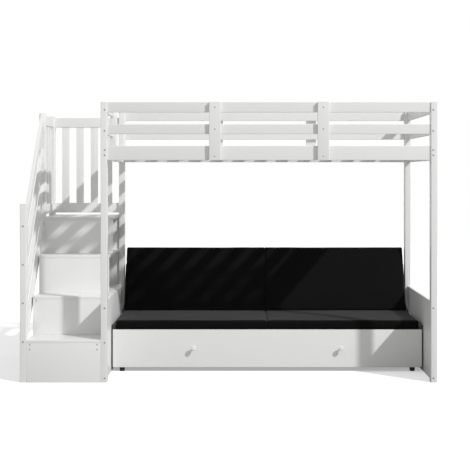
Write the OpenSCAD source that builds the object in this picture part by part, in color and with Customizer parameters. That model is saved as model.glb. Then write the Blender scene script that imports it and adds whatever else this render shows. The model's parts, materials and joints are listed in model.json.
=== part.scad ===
// Bunk bed with stairs: a white timber upper bunk, a staircase with storage at
// its left end, and a pull-out sofa bed on a black steel frame below.
// Inside the modules X runs from the outer left face of the stairs, Y from the
// front faces of the front posts to the back, and Z up from the floor.
// frame_place() then puts the origin at the bottom centre of the whole.

/* [Bunk] */
// Length of the bunk over its posts
bunk_len = 2002; // [1850:1:2200]
// Depth of the bunk over its posts
bunk_depth = 1060; // [980:1:1200]
// Height of the bunk posts
post_h = 1668; // [1600:1:1800]
// Width of a post along the bunk
post_w = 38; // [32:1:60]
// Depth of a post from front to back
post_d = 57; // [45:1:80]
// Rounding of the long edges of the posts
post_round = 3; // [1:0.5:6]
// Thickness of the rails
rail_t = 20; // [16:1:28]
// Set-back of the long rails behind the posts' faces
rail_set = 9; // [4:1:14]
// Height of the top rail
top_rail_h = 61; // [45:1:80]
// Height of the middle rail
mid_rail_h = 58; // [45:1:80]
// Height of the rail that carries the slats
bed_rail_h = 85; // [70:1:120]
// Drop from the post's top to the top of the middle rail
mid_rail_drop = 132; // [110:1:170]
// Drop from the post's top to the top of the bed rail
bed_rail_drop = 261; // [230:1:300]
// Rounding of the rails' edges
rail_round = 2.5; // [1:0.5:5]
// Width of the upright stiles on the long guards
stile_w = 68; // [50:1:90]
// Thickness of the stiles
stile_t = 23; // [16:1:28]
// Distance between the two stiles of a guard
stile_pitch = 644; // [500:1:800]

/* [Slats] */
// Height of the ledgers that carry the slats
ledger_h = 30; // [20:1:40]
// Thickness of the ledgers
ledger_t = 20; // [15:1:30]
// Width of a bed slat
slat_w = 68; // [50:1:90]
// Thickness of a bed slat
slat_t = 18; // [12:1:25]
// Gap between the posts and the first and last bed slat
slat_end_gap = 33.2; // [20:0.1:50]
// Number of bed slats
slat_count = 13; // [10:1:13]

/* [End panels] */
// Height of the solid panels at the bunk's ends
panel_h = 471; // [420:1:500]
// Thickness of the end panels
panel_t = 20; // [12:1:25]
// Front to back place of the short entry post
entry_post_y = 500; // [400:1:600]
// Height of the cross rail that carries the back when flat
cross_rail_h = 70; // [50:1:110]

/* [Stairs] */
// Width of the staircase
stair_w = 480; // [420:1:600]
// Number of treads below the landing
tread_count = 3; // [3:1:3]
// Height of the first tread
first_rise = 253; // [220:1:260]
// Rise from one tread to the next
rise = 236; // [215:1:240]
// Run from one tread's front edge to the next
run = 212.7; // [190:0.1:225]
// Thickness of the treads
tread_t = 18; // [15:1:25]
// Thickness of the risers
riser_t = 15; // [12:1:20]
// Rounding of a tread's front edge
nose_r = 3; // [1:0.5:5]
// Thickness of the panels that close the stairs at the side and the back
closing_t = 15; // [12:1:18]
// Height of the front newel
newel_front_h = 1062; // [1000:1:1150]
// Height of the middle and back newels
newel_back_h = 1636; // [1580:1:1700]
// Width of the sloped side rails, square to their slope
slope_rail_w = 57; // [40:1:70]
// Height of the lowest sloped rail's centre at the front newel
slope_rail_z = 243; // [230:1:260]
// Spacing of the sloped rails in height
slope_rail_pitch = 229; // [200:1:245]
// Drop from the middle newel's top to the centre of the highest sloped rail
slope_top_drop = 43.5; // [40:0.5:80]
// Number of sloped rails
slope_rail_count = 4; // [3:1:4]

/* [Landing guard] */
// Height of the landing guard's rails
guard_rail_h = 66; // [50:1:80]
// Gap between the landing and the guard's lower rail
guard_gap = 15; // [5:1:40]
// Drop from the newel's top to the guard's top rail
guard_drop = 10; // [4:1:30]
// Width of a baluster
baluster_w = 49.5; // [35:0.5:60]
// Thickness of a baluster
baluster_t = 12; // [10:1:18]
// Least gap between the balusters, which sets their number
baluster_gap_min = 36; // [30:1:60]

/* [Sofa bed] */
// Depth from the front board's face to the hinge line
seat_len = 520; // [480:1:524]
// Gap between the front board's ends and the end panels
board_gap = 10.5; // [8:0.5:40]
// Thickness of the front board
board_t = 15; // [12:1:20]
// Bottom edge of the front board above the floor
board_z = 26; // [20:1:45]
// Top edge of the front board above the floor
board_top = 263; // [250:1:290]
// Side of the square steel tube
tube_a = 25; // [20:1:30]
// Wall of the steel tube
tube_wall = 1.5; // [1:0.1:3]
// Gap between the steel frame and the end panels
frame_gap = 0.8; // [0.5:0.1:4]
// Gap between the steel seat frame and the front of the back posts
seat_back_gap = 123; // [110:1:150]
// Set-back of the hinge line behind the steel seat frame
hinge_set = 9; // [6:0.5:16]
// Gap between the steel seat frame and the cross rail behind it
cross_gap = 19; // [10:1:30]
// How far the flat back reaches over the cross rail
cross_reach = 5; // [2:1:20]
// Height of the end frames' side tubes above the board's top
side_tube_up = 24; // [10:1:30]
// Travel of the sofa from sitting to sleeping
sofa_travel = 310; // [300:1:310]
// Distance of a glide foot's centre from the steel frame's end
foot_inset = 66.2; // [45:0.1:150]
// Width of a glide foot at its top
foot_top_d = 36; // [30:1:45]
// Width of a glide foot at its bottom
foot_bottom_d = 30; // [24:1:40]
// Diameter of a knob
knob_d = 30; // [24:1:40]
// Projection of a knob
knob_out = 38; // [20:1:45]
// Spacing of the two knobs
knob_pitch = 924; // [700:1:1100]
// Height of the knobs' centres
knob_z = 149; // [120:1:200]
// Width of a sofa slat
sofa_slat_w = 60; // [40:1:80]
// Thickness of a sofa slat
sofa_slat_t = 12; // [8:1:12]
// Number of slats under the seat and behind the back
sofa_slat_count = 11; // [8:1:13]
// Lean of the back's cushions above the flat, in degrees
back_angle = 68; // [60:1:75]
// Start of the steel back frame from the hinge
back_frame_start = 20; // [15:1:40]
// Thickness of the hinge plates
plate_t = 4; // [3:0.5:5]
// Diameter of the hinge pins
pin_d = 8; // [6:1:10]
// Outer radius of the hinge plates' eyes
eye_r = 12; // [10:1:14]

/* [Cushions] */
// Gap between the cushions and the posts
cushion_side_gap = 9.5; // [8:0.5:40]
// Gap between the two cushions of a pair
cushion_gap = 2; // [1:0.5:8]
// Thickness of the cushions
cushion_t = 53.7; // [40:0.1:60]
// Length of the back cushions from the hinge line
back_cushion_len = 454; // [430:1:480]
// Radius of the cushions' upper and lower edges
cushion_edge = 9; // [6:1:18]
// Radius of the cushions' corners seen from above
cushion_corner = 14; // [8:1:40]
// Rise of the cushion's middle over its edges
cushion_crown = 5; // [2:0.5:12]
// How far a cushion's sides pull in between its corners
cushion_draw = 1.5; // [0:0.5:8]

/* [Fasteners] */
// Diameter of a bolt head
bolt_d = 11; // [8:1:14]
// Height of a bolt head
bolt_h = 2.2; // [1.5:0.1:4]
// Diameter of a screw head
screw_d = 9; // [6:1:11]
// Height of a screw head
screw_h = 1; // [0.5:0.1:2]

/* [Hidden] */
// Running clearance round a hinge pin
pin_fit = 0.06;
// Clearance of soft pieces from what they lie on
soft_gap = 0.3;
// Clearance between the moving hinge plates
plate_gap = 1.5;
// One overrun for every cut
over = 1;
// Steps of a full turn on bolts, pins, feet and knobs
turn_steps = 36;
// Steps of a small rounding
round_steps = 24;
// Sides of a bolt's and of a screw's socket, and where its floor lies in the head
bolt_sides = 6;
screw_sides = 4;
socket_share = 0.4;
// Points on each side and each corner of a cushion's outline
side_points = 6;
corner_points = 6;
// Rings of a cushion's rounded edge and of its crown
edge_rings = 4;
crown_rings = 4;
// Sizes of the hidden cleats in the stairs
cleat_a = 20;
// Heights and distances of bolts and screws from the edges of what they hold,
// and how far the posts' bolts lie inward of the posts' middles
bolt_low_z = 27;
panel_bolt_drop = 28;
side_bolt_drop = 11;
post_bolt_in = 5.5;
screw_inset = 21;
screw_drop = 27;
screw_step = 29;

total_w = stair_w + bunk_len;
bunk_x = stair_w;
bunk_x1 = stair_w + bunk_len;
inner_x0 = bunk_x + post_w;
inner_x1 = bunk_x1 - post_w;
back_post_y = bunk_depth - post_d;
top_rail_z = post_h - top_rail_h;
mid_rail_z = post_h - mid_rail_drop - mid_rail_h;
bed_rail_z = post_h - bed_rail_drop - bed_rail_h;
bunk_mid_x = bunk_x + bunk_len / 2;
stile_out = stile_t - rail_set;
slat_z = bed_rail_z + ledger_h;
slat_pitch = (inner_x1 - inner_x0 - 2 * slat_end_gap - slat_w) / (slat_count - 1);
front_rail_y = rail_set;
back_rail_y = bunk_depth - rail_set - rail_t;
panel_x0 = bunk_x + panel_t;
panel_x1 = bunk_x1 - panel_t;
landing_z = first_rise + tread_count * rise;
landing_y = tread_count * run;
side_x = post_w;
step_x1 = stair_w;
guard_y = back_post_y + (post_d - rail_t) / 2;
guard_x = (post_w - rail_t) / 2;
guard_low_z = landing_z + guard_gap;
guard_top_z = newel_back_h - guard_drop - guard_rail_h;
guard_side_y0 = landing_y + post_d;
stair_back_y = back_post_y + closing_t;
slope_share = (newel_back_h - slope_top_drop - slope_rail_z
    - (slope_rail_count - 1) * slope_rail_pitch) / (landing_y - post_d);
slope_angle = atan(slope_share);
slope_half = slope_rail_w / 2 / cos(slope_angle);
frame_x0 = panel_x0 + frame_gap;
frame_x1 = panel_x1 - frame_gap;
board_x0 = panel_x0 + board_gap;
board_x1 = panel_x1 - board_gap;
seat_frame_y = back_post_y - seat_back_gap;
hinge_y = seat_frame_y + hinge_set;
hinge_z = board_top + soft_gap + cushion_t;
sofa_y = hinge_y - seat_len;
frame_y0 = sofa_y + board_t;
cross_rail_y = seat_frame_y + cross_gap;
back_frame_len = cross_rail_y + rail_t + cross_reach - hinge_y + sofa_travel;
side_tube_top = board_top + side_tube_up;
slat_low = board_top - sofa_slat_t;
cushion_len = (inner_x1 - inner_x0 - 2 * cushion_side_gap - cushion_gap) / 2;
back_x0 = inner_x0 + 2 * plate_gap;
back_x1 = inner_x1 - 2 * plate_gap;
back_frame_z = -cushion_t - tube_a - soft_gap;
cross_rail_top = hinge_z + back_frame_z - plate_gap;
seat_depth = seat_len - plate_gap;
ear_x = inner_x0 - plate_t + plate_gap;
back_plate_x = ear_x + plate_t + plate_gap;
// Heights of the bolts on a post: one in each rail, two in the bed rail, two below
bolt_heights = [top_rail_z + top_rail_h / 4, mid_rail_z + mid_rail_h / 3,
                bed_rail_z + bed_rail_h * 0.72, bed_rail_z + bed_rail_h * 0.36,
                panel_h - panel_bolt_drop, bolt_low_z];
// Reach of the leaning back cushions behind the posts' faces
rear_reach = hinge_y + (back_cushion_len - cushion_edge) * cos(back_angle)
    + (cushion_t - cushion_edge) * sin(back_angle) + cushion_edge;

// Shared shapes

module frame_place() {
    translate([-(total_w + bolt_h) / 2, (stile_out + screw_h - rear_reach) / 2, 0]) children();
}

// An outline with rounded corners, from the origin
module round_rect(a, b, r) {
    corner_r = min(r, a / 3, b / 3);
    translate([corner_r, 0]) square([a - 2 * corner_r, b]);
    translate([0, corner_r]) square([a, b - 2 * corner_r]);
    for (x = [corner_r, a - corner_r], y = [corner_r, b - corner_r])
        translate([x, y]) circle(r = corner_r, $fn = round_steps);
}

// A post with rounded long edges
module post(x, y, z0, z1) {
    translate([x, y, z0]) linear_extrude(z1 - z0) round_rect(post_w, post_d, post_round);
}

// A rail along the bunk
module rail_x(x0, x1, y, z, h, t = rail_t) {
    translate([x0, y, z]) rotate([90, 0, 90]) linear_extrude(x1 - x0)
        round_rect(t, h, rail_round);
}

// A rail from front to back
module rail_y(x, y0, y1, z, h, t = rail_t) {
    translate([x, y1, z]) rotate([90, 0, 0]) linear_extrude(y1 - y0)
        round_rect(t, h, rail_round);
}

// A low domed head with a socket of so many sides, its axis along +Z from its seat
module head(d, h, sides) {
    difference() {
        rotate_extrude($fn = turn_steps)
            polygon([[0, 0], [d / 2, 0], [d / 2, h * 0.45], [d * 0.38, h], [0, h]]);
        translate([0, 0, h * socket_share]) cylinder(d = d / 2, h = h, $fn = sides);
    }
}

// The same head on a front, back, right or top face
module head_front(x, y, z, d, h, sides) {
    translate([x, y, z]) rotate([90, 0, 0]) head(d, h, sides);
}
module head_back(x, y, z, d, h, sides) {
    translate([x, y, z]) rotate([-90, 0, 0]) head(d, h, sides);
}
module head_right(x, y, z, d, h, sides) {
    translate([x, y, z]) rotate([0, 90, 0]) head(d, h, sides);
}
module head_top(x, y, z, d, h, sides) { translate([x, y, z]) head(d, h, sides); }

// A hollow square tube along X
module tube_x(x, y, z, len) {
    translate([x, y, z]) difference() {
        cube([len, tube_a, tube_a]);
        translate([-over, tube_wall, tube_wall])
            cube([len + 2 * over, tube_a - 2 * tube_wall, tube_a - 2 * tube_wall]);
    }
}

// Bunk

module post_front_left() { color("white") frame_place() post(bunk_x, 0, 0, post_h); }
module post_front_right() { color("white") frame_place() post(inner_x1, 0, 0, post_h); }
module post_back_left() { color("white") frame_place() post(bunk_x, back_post_y, 0, post_h); }
module post_back_right() { color("white") frame_place() post(inner_x1, back_post_y, 0, post_h); }

// The short post at the entry, notched over the left bed rail
module entry_post() {
    color("white") frame_place() difference() {
        post(bunk_x, entry_post_y, bed_rail_z, post_h);
        translate([bunk_x - over, entry_post_y - over, bed_rail_z - over])
            cube([rail_t + over, post_d + 2 * over, bed_rail_h + over]);
    }
}

module long_rail(y, z, h) { color("white") frame_place() rail_x(inner_x0, inner_x1, y, z, h); }
module front_top_rail() { long_rail(front_rail_y, top_rail_z, top_rail_h); }
module front_mid_rail() { long_rail(front_rail_y, mid_rail_z, mid_rail_h); }
module front_bed_rail() { long_rail(front_rail_y, bed_rail_z, bed_rail_h); }
module back_top_rail() { long_rail(back_rail_y, top_rail_z, top_rail_h); }
module back_mid_rail() { long_rail(back_rail_y, mid_rail_z, mid_rail_h); }
module back_bed_rail() { long_rail(back_rail_y, bed_rail_z, bed_rail_h); }

module end_rail(x, y1, z, h) { color("white") frame_place() rail_y(x, post_d, y1, z, h); }
module right_top_rail() { end_rail(bunk_x1 - rail_t, back_post_y, top_rail_z, top_rail_h); }
module right_mid_rail() { end_rail(bunk_x1 - rail_t, back_post_y, mid_rail_z, mid_rail_h); }
module right_bed_rail() { end_rail(bunk_x1 - rail_t, back_post_y, bed_rail_z, bed_rail_h); }
module left_top_rail() { end_rail(bunk_x, entry_post_y, top_rail_z, top_rail_h); }
module left_mid_rail() { end_rail(bunk_x, entry_post_y, mid_rail_z, mid_rail_h); }
module left_bed_rail() { end_rail(bunk_x, back_post_y, bed_rail_z, bed_rail_h); }

// Two uprights that tie the rails of a long guard together
module stile_pair(y) {
    for (side = [-1, 1])
        translate([bunk_mid_x + side * stile_pitch / 2 - stile_w / 2, y, bed_rail_z])
            linear_extrude(post_h - bed_rail_z) round_rect(stile_w, stile_t, rail_round);
}
module front_stiles() { color("white") frame_place() stile_pair(front_rail_y - stile_t); }
module back_stiles() { color("white") frame_place() stile_pair(back_rail_y + rail_t); }

module slat_ledgers() {
    color("white") frame_place() for (y = [front_rail_y + rail_t, back_rail_y - ledger_t])
        translate([inner_x0, y, bed_rail_z]) cube([inner_x1 - inner_x0, ledger_t, ledger_h]);
}

module bed_slats() {
    slat_y0 = front_rail_y + rail_t;
    color("white") frame_place() for (i = [0 : slat_count - 1])
        rail_y(inner_x0 + slat_end_gap + i * slat_pitch, slat_y0, back_rail_y, slat_z, slat_t,
               slat_w);
}

// Screws that hold each slat down on the two ledgers
module slat_screws() {
    color("gray") frame_place() for (i = [0 : slat_count - 1],
            y = [front_rail_y + rail_t + ledger_t / 2, back_rail_y - ledger_t / 2])
        head_top(inner_x0 + slat_end_gap + i * slat_pitch + slat_w / 2, y, slat_z + slat_t,
                 screw_d, screw_h, screw_sides);
}

module end_panel(x) {
    color("white") frame_place() translate([x, post_d, 0])
        cube([panel_t, back_post_y - post_d, panel_h]);
}
module left_end_panel() { end_panel(bunk_x); }
module right_end_panel() { end_panel(panel_x1); }

// The rail between the end panels that the flat back lies on
module back_cross_rail() {
    color("white") frame_place()
        rail_x(panel_x0, panel_x1, cross_rail_y, cross_rail_top - cross_rail_h, cross_rail_h);
}

module frame_bolts() {
    color("gray") frame_place() {
        for (x = [bunk_x + post_w / 2 + post_bolt_in, bunk_x1 - post_w / 2 - post_bolt_in],
                z = bolt_heights) {
            head_front(x, 0, z, bolt_d, bolt_h, bolt_sides);
            head_back(x, bunk_depth, z, bolt_d, bolt_h, bolt_sides);
        }
        head_front(bunk_x + post_w / 2 + post_bolt_in, 0, first_rise - riser_t, bolt_d, bolt_h,
                   bolt_sides);
        for (y = [front_rail_y + rail_t / 2, back_rail_y + rail_t / 2], i = [0 : 3])
            head_right(bunk_x1, y, bolt_heights[i] - side_bolt_drop, bolt_d, bolt_h, bolt_sides);
        for (i = [0 : slope_rail_count - 1])
            head_front(post_w / 2, 0, slope_rail_z + i * slope_rail_pitch, bolt_d, bolt_h,
                       bolt_sides);
    }
}

// Screw heads of the stiles, front and back
module guard_screws() {
    color("gray") frame_place() for (side = [-1, 1], i = [0 : 2]) {
        x = bunk_mid_x + side * stile_pitch / 2;
        z = [top_rail_z + top_rail_h / 2, mid_rail_z + mid_rail_h / 2,
             bed_rail_z + bed_rail_h * 0.28][i];
        head_front(x, front_rail_y - stile_t, z, screw_d, screw_h, screw_sides);
        head_back(x, back_rail_y + rail_t + stile_t, z, screw_d, screw_h, screw_sides);
    }
}

// Stairs

module newel_front() { color("white") frame_place() post(0, 0, 0, newel_front_h); }
module newel_middle() { color("white") frame_place() post(0, landing_y, 0, newel_back_h); }
module newel_back() { color("white") frame_place() post(0, back_post_y, 0, newel_back_h); }

// Sloped rails between the front and the middle newel
module stair_rails() {
    y0 = post_d;
    y1 = landing_y;
    dz = (y1 - y0) * slope_share;
    color("white") frame_place() for (i = [0 : slope_rail_count - 1])
        translate([guard_x, 0, slope_rail_z + i * slope_rail_pitch]) rotate([90, 0, 90])
            linear_extrude(rail_t)
                polygon([[y0, -slope_half], [y1, dz - slope_half], [y1, dz + slope_half],
                         [y0, slope_half]]);
}

module landing_back_rails() {
    color("white") frame_place() for (z = [guard_low_z, guard_top_z])
        rail_x(side_x, bunk_x, guard_y, z, guard_rail_h);
}

// Balusters that fit in a span with no gap under the least one
function baluster_count(span) =
    floor((span - baluster_gap_min) / (baluster_w + baluster_gap_min));

module landing_back_balusters() {
    span = bunk_x - side_x;
    count = baluster_count(span);
    gap = (span - count * baluster_w) / (count + 1);
    color("white") frame_place() for (i = [0 : count - 1])
        translate([side_x + gap + i * (baluster_w + gap), guard_y + (rail_t - baluster_t) / 2,
                   guard_low_z + guard_rail_h])
            cube([baluster_w, baluster_t, guard_top_z - guard_low_z - guard_rail_h]);
}

module landing_side_rails() {
    color("white") frame_place() for (z = [guard_low_z, guard_top_z])
        rail_y(guard_x, guard_side_y0, back_post_y, z, guard_rail_h);
}

module landing_side_balusters() {
    span = back_post_y - guard_side_y0;
    count = baluster_count(span);
    gap = (span - count * baluster_w) / (count + 1);
    color("white") frame_place() for (i = [0 : count - 1])
        translate([guard_x + (rail_t - baluster_t) / 2,
                   guard_side_y0 + gap + i * (baluster_w + gap), guard_low_z + guard_rail_h])
            cube([baluster_t, baluster_w, guard_top_z - guard_low_z - guard_rail_h]);
}

// A board with a rounded front edge
module step_board(y0, y1, top) {
    color("white") frame_place() translate([side_x, y0, top - tread_t]) {
        translate([0, nose_r, 0]) cube([step_x1 - side_x, y1 - y0 - nose_r, tread_t]);
        translate([0, 0, nose_r]) cube([step_x1 - side_x, nose_r, tread_t - 2 * nose_r]);
        for (z = [nose_r, tread_t - nose_r]) translate([0, nose_r, z]) rotate([0, 90, 0])
            cylinder(r = nose_r, h = step_x1 - side_x, $fn = round_steps);
    }
}
// The first tread stops behind the second riser; the next two run on as shelves
module tread_1() { step_board(0, run + riser_t, first_rise); }
module tread_2() { step_board(run, stair_back_y, first_rise + rise); }
module tread_3() { step_board(2 * run, stair_back_y, first_rise + 2 * rise); }
module landing() { step_board(landing_y, bunk_depth, landing_z); }

module riser(i) {
    z0 = i == 0 ? 0 : first_rise + (i - 1) * rise;
    translate([side_x, i * run, z0])
        cube([step_x1 - side_x, riser_t, first_rise + i * rise - tread_t - z0]);
}
module riser_1() { color("white") frame_place() riser(0); }
module upper_risers() { color("white") frame_place() for (i = [1 : tread_count]) riser(i); }

// Panels that close the left side under each step, and cleats that they carry.
// Behind the short first tread the second panel stands on the first.
module stair_side_panel() {
    color("white") frame_place() for (i = [0 : tread_count]) {
        z0 = i == 0 ? 0 : i == 1 ? first_rise - tread_t : first_rise + (i - 1) * rise;
        translate([side_x, i * run + riser_t, z0])
            cube([closing_t, stair_back_y - i * run - riser_t, first_rise + i * rise - tread_t - z0]);
    }
}

module stair_back_panel() {
    color("white") frame_place() translate([side_x, stair_back_y, 0])
        cube([step_x1 - side_x, closing_t, landing_z - tread_t]);
}

module stair_cleats() {
    color("white") frame_place() for (i = [0 : tread_count]) {
        y0 = i * run + riser_t;
        z = first_rise + i * rise - tread_t - cleat_a;
        y1 = i == 0 ? run : stair_back_y;
        translate([side_x + closing_t, y0, z]) cube([cleat_a, y1 - y0, cleat_a]);
        if (i == 0) translate([step_x1 - cleat_a, y0, z]) cube([cleat_a, y1 - y0, cleat_a]);
    }
}

// Screws through the two lowest risers' fronts
module stair_screws() {
    color("gray") frame_place() for (i = [0 : 1]) {
        top = first_rise + i * rise;
        for (x = [side_x + screw_inset, step_x1 - screw_inset], j = [0 : (i == 0 ? 1 : 0)])
            head_front(x, i * run, top - screw_drop - j * screw_step, screw_d, screw_h,
                       screw_sides);
    }
}

// Sofa bed

module sofa_front_board() {
    color("white") frame_place()
        rail_x(board_x0, board_x1, sofa_y, board_z, board_top - board_z, board_t);
}

// Two turned knobs: a thick disc with a flat front on a slim neck
module knobs() {
    r = knob_d / 2;
    color("white") frame_place() for (side = [-1, 1])
        translate([bunk_mid_x + side * knob_pitch / 2, sofa_y, knob_z]) rotate([90, 0, 0])
            rotate_extrude($fn = turn_steps)
                polygon([[0, 0], [r * 0.5, 0], [r * 0.38, knob_out * 0.35],
                         [r * 0.42, knob_out * 0.55], [r * 0.9, knob_out * 0.68],
                         [r, knob_out * 0.78], [r, knob_out * 0.9],
                         [r * 0.9, knob_out * 0.97], [r * 0.7, knob_out],
                         [0, knob_out]]);
}

// One of the two welded end frames, drawn for the left end, with its hinge ear
module end_frame() {
    side_len = seat_frame_y - frame_y0;
    leg_h = side_tube_top - board_z;
    translate([frame_x0, frame_y0, board_z]) {
        cube([tube_a, tube_a, leg_h]);
        translate([0, side_len - tube_a, 0]) cube([tube_a, tube_a, leg_h]);
        cube([tube_a, side_len, tube_a]);
        translate([0, 0, leg_h - tube_a]) cube([tube_a, side_len, tube_a]);
    }
    translate([ear_x, 0, 0]) plate_shape() {
        translate([seat_frame_y - 2 * tube_a, side_tube_top - tube_a / 2])
            square([2 * tube_a, tube_a / 2]);
    }
}
// A plate across X with an eye on the hinge line, grown from the children's outline
module plate_shape() {
    rotate([90, 0, 90]) linear_extrude(plate_t) difference() {
        hull() {
            children();
            translate([hinge_y, hinge_z]) circle(r = eye_r, $fn = turn_steps);
        }
        translate([hinge_y, hinge_z]) circle(d = pin_d + 2 * pin_fit, $fn = turn_steps);
    }
}

// What is drawn at the left end is mirrored to the right end
module both_ends() {
    children();
    translate([2 * bunk_mid_x, 0, 0]) mirror([1, 0, 0]) children();
}

module seat_end_frames() { color("dimgray") frame_place() both_ends() end_frame(); }

module seat_long_tubes() {
    color("dimgray") frame_place()
        for (y = [frame_y0, seat_frame_y - tube_a], z = [board_z, slat_low - tube_a])
            tube_x(frame_x0 + tube_a, y, z, frame_x1 - frame_x0 - 2 * tube_a);
}

function sofa_slat_x(i, x0, x1) =
    x0 + (x1 - x0 - sofa_slat_w) * (i + 0.5) / sofa_slat_count;

module seat_slats() {
    x0 = frame_x0 + tube_a;
    x1 = frame_x1 - tube_a;
    color("tan") frame_place() for (i = [0 : sofa_slat_count - 1])
        rail_y(sofa_slat_x(i, x0, x1), frame_y0, seat_frame_y, slat_low, sofa_slat_t,
               sofa_slat_w);
}

module glide_feet() {
    color("black") frame_place() for (x = [frame_x0 + foot_inset, frame_x1 - foot_inset],
            y = [frame_y0, seat_frame_y - tube_a])
        translate([x, y + tube_a / 2, 0])
            cylinder(d1 = foot_bottom_d, d2 = foot_top_d, h = board_z, $fn = turn_steps);
}

// Turns what is drawn flat, with the hinge line at the origin, up to the lean
module leaning() {
    frame_place() translate([0, hinge_y, hinge_z]) rotate([back_angle, 0, 0]) children();
}

module back_side_bar() {
    translate([back_x0, back_frame_start, back_frame_z])
        cube([tube_a, back_frame_len - back_frame_start, tube_a]);
    translate([back_plate_x, 0, 0]) rotate([90, 0, 90]) linear_extrude(plate_t) difference() {
        hull() {
            circle(r = eye_r, $fn = turn_steps);
            translate([back_frame_start, back_frame_z]) square([2 * tube_a, tube_a]);
        }
        circle(d = pin_d + 2 * pin_fit, $fn = turn_steps);
    }
}
module back_side_bars() { color("dimgray") leaning() both_ends() back_side_bar(); }

module back_cross_bars() {
    color("dimgray") leaning() for (y = [back_frame_start, back_frame_len - tube_a])
        tube_x(back_x0 + tube_a, y, back_frame_z, back_x1 - back_x0 - 2 * tube_a);
}

module back_slats() {
    x0 = back_x0 + tube_a;
    x1 = back_x1 - tube_a;
    color("tan") leaning() for (i = [0 : sofa_slat_count - 1])
        rail_y(sofa_slat_x(i, x0, x1), back_frame_start + tube_a, back_frame_len - tube_a,
               back_frame_z + tube_a - sofa_slat_t, sofa_slat_t, sofa_slat_w);
}

// Headed pins through the ears of the seat and the plates of the back
module hinge_pins() {
    head_t = plate_gap / 2;
    color("silver") frame_place() both_ends() translate([ear_x - head_t, hinge_y, hinge_z])
        rotate([0, 90, 0]) {
            cylinder(d = pin_d, h = back_plate_x + plate_t - ear_x + 2 * head_t,
                     $fn = turn_steps);
            cylinder(d = 2 * pin_d, h = head_t * 0.9, $fn = turn_steps);
            translate([0, 0, back_plate_x + plate_t - ear_x + head_t * 1.1])
                cylinder(d = 2 * pin_d, h = head_t * 0.9, $fn = turn_steps);
        }
}

// Cushions: rings of one rounded outline, drawn in along its sides, rise round
// the lower edge, over the upper edge and in to the crown.

function outline_count() = 4 * (side_points + corner_points);

// One outline point, inset by e from a rectangle a by b
function outline_point(i, a, b, e) =
    let (n = side_points + corner_points, q = floor(i / n), k = i - q * n,
         r = max(cushion_corner - e, cushion_corner / 8),
         hx = a / 2 - e - r, hy = b / 2 - e - r,
         sx = q == 0 || q == 3 ? 1 : -1, sy = q < 2 ? 1 : -1,
         turn = q * 90 + (k < corner_points ? 90 * k / (corner_points - 1) : 90),
         along = k < corner_points ? 0 : (k - corner_points + 1) / (side_points + 1),
         ex = q == 0 ? sx * hx - 2 * hx * along : q == 2 ? sx * hx + 2 * hx * along : sx * hx,
         ey = q == 1 ? sy * hy - 2 * hy * along : q == 3 ? sy * hy + 2 * hy * along : sy * hy,
         draw = cushion_draw * sin(180 * along))
    [ex + (r - draw) * cos(turn), ey + (r - draw) * sin(turn)];

// Inset and height of each ring
function cushion_rings(a, b) = concat(
    [for (j = [0 : edge_rings]) let (w = 90 * j / edge_rings)
        [cushion_edge * (1 - sin(w)), cushion_edge * (1 - cos(w))]],
    [for (j = [0 : edge_rings]) let (w = 90 * j / edge_rings)
        [cushion_edge * (1 - cos(w)), cushion_t - cushion_edge * (1 - sin(w))]],
    [for (j = [1 : crown_rings]) let (u = j / (crown_rings + 1))
        [cushion_edge + u * (min(a, b) / 2 - cushion_edge), cushion_t
            + cushion_crown * sin(90 * u)]]);

module cushion(a, b) {
    n = outline_count();
    rings = cushion_rings(a, b);
    points = concat(
        [[0, 0, 0]],
        [for (ring = rings, i = [0 : n - 1])
            let (p = outline_point(i, a, b, ring[0])) [p[0], p[1], ring[1]]],
        [[0, 0, cushion_t + cushion_crown]]);
    last = len(rings) - 1;
    faces = concat(
        [for (i = [0 : n - 1]) [0, 1 + i, 1 + (i + 1) % n]],
        [for (j = [0 : last - 1], i = [0 : n - 1], half = [0, 1])
            let (p = 1 + j * n + i, q = 1 + j * n + (i + 1) % n)
            half == 0 ? [p, p + n, q] : [q, p + n, q + n]],
        [for (i = [0 : n - 1]) [1 + last * n + (i + 1) % n, 1 + last * n + i, len(points) - 1]]);
    polyhedron(points, faces, convexity = 4);
}

module seat_cushion(side) {
    translate([bunk_mid_x + side * (cushion_len + cushion_gap) / 2, sofa_y + seat_depth / 2,
               board_top + soft_gap])
        cushion(cushion_len, seat_depth);
}
module seat_cushion_left() { color("black") frame_place() seat_cushion(-1); }
module seat_cushion_right() { color("black") frame_place() seat_cushion(1); }

module back_cushion(side) {
    len_b = back_cushion_len - plate_gap;
    translate([bunk_mid_x + side * (cushion_len + cushion_gap) / 2, plate_gap + len_b / 2,
               -cushion_t])
        cushion(cushion_len, len_b);
}
module back_cushion_left() { color("black") leaning() back_cushion(-1); }
module back_cushion_right() { color("black") leaning() back_cushion(1); }

post_front_left();
post_front_right();
post_back_left();
post_back_right();
entry_post();
front_top_rail();
front_mid_rail();
front_bed_rail();
back_top_rail();
back_mid_rail();
back_bed_rail();
right_top_rail();
right_mid_rail();
right_bed_rail();
left_top_rail();
left_mid_rail();
left_bed_rail();
front_stiles();
back_stiles();
slat_ledgers();
bed_slats();
slat_screws();
left_end_panel();
right_end_panel();
back_cross_rail();
frame_bolts();
guard_screws();
newel_front();
newel_middle();
newel_back();
stair_rails();
landing_back_rails();
landing_back_balusters();
landing_side_rails();
landing_side_balusters();
tread_1();
tread_2();
tread_3();
landing();
riser_1();
upper_risers();
stair_side_panel();
stair_back_panel();
stair_cleats();
stair_screws();
sofa_front_board();
knobs();
seat_end_frames();
seat_long_tubes();
seat_slats();
glide_feet();
seat_cushion_left();
seat_cushion_right();
back_side_bars();
back_cross_bars();
back_slats();
hinge_pins();
back_cushion_left();
back_cushion_right();
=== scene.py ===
import json
import math

import bmesh
import bpy
from mathutils import Matrix, Vector
from mathutils.bvhtree import BVHTree
from mathutils.noise import noise


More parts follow.
